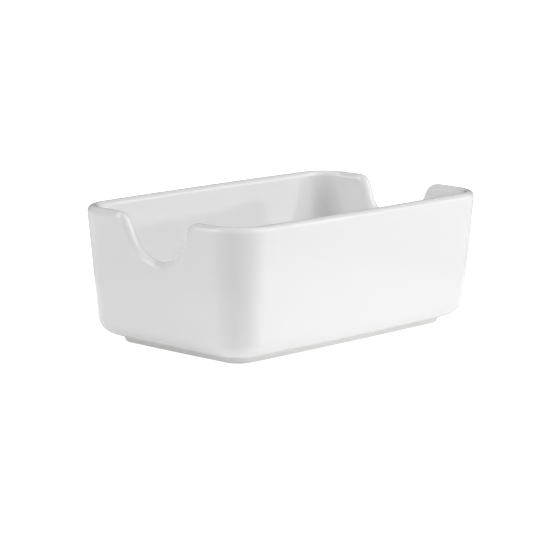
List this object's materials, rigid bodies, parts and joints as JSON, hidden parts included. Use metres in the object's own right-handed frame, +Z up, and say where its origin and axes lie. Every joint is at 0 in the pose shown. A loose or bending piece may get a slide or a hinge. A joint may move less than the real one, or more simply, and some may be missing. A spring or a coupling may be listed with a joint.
{
  "type": "sugar packet holder",
  "caption": "Footed white porcelain trough with leaning, softly bowed walls and a rolled rim that dips into a finger scoop at each end, for packets stood on edge.",
  "frame": {"origin": "on the table, under the middle of the dish's footprint", "axes": "+X along the dish, towards one scooped end wall; +Y across it; +Z up"},
  "size_m": [0.1166, 0.076, 0.0435],
  "materials": {
    "glazed_body": "clear glossy glaze over fired white porcelain",
    "bare_foot": "unglazed fired porcelain, matt, wiped and ground flat"
  },
  "bodies": {
    "root": {"dish": "glazed_body", "foot_ring": "bare_foot"}
  },
  "joints": []
}
